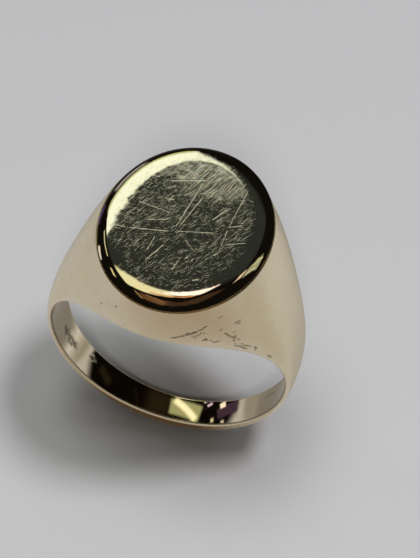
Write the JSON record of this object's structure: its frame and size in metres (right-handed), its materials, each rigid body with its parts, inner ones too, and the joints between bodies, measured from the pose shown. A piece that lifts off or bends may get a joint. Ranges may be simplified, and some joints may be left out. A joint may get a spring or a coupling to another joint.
{
  "type": "signet ring",
  "caption": "Oval signet ring with a flat blank table, rolled rim, full shoulders and a narrow tapering band.",
  "frame": {"origin": "centre of the finger bore, halfway between its front and rear edges", "axes": "+Z from the bore centre to the table, perpendicular to it; Y along the finger axis, with the front of the ring at -Y; +X to the right seen from the front"},
  "size_m": [0.0204, 0.0168, 0.0247],
  "materials": {
    "gold": "polished 9 carat yellow gold",
    "table_gold": "mirror-polished 9 carat yellow gold, worn with fine scratches",
    "solder": "9 carat hard solder, polished flush"
  },
  "bodies": {
    "root": {"table_plate": "table_gold", "table_solder": "solder", "head_body": "gold", "left_shoulder": "gold", "right_shoulder": "gold", "left_shoulder_solder": "solder", "right_shoulder_solder": "solder", "rear_shank": "gold", "left_shank_solder": "solder", "right_shank_solder": "solder"}
  },
  "joints": []
}
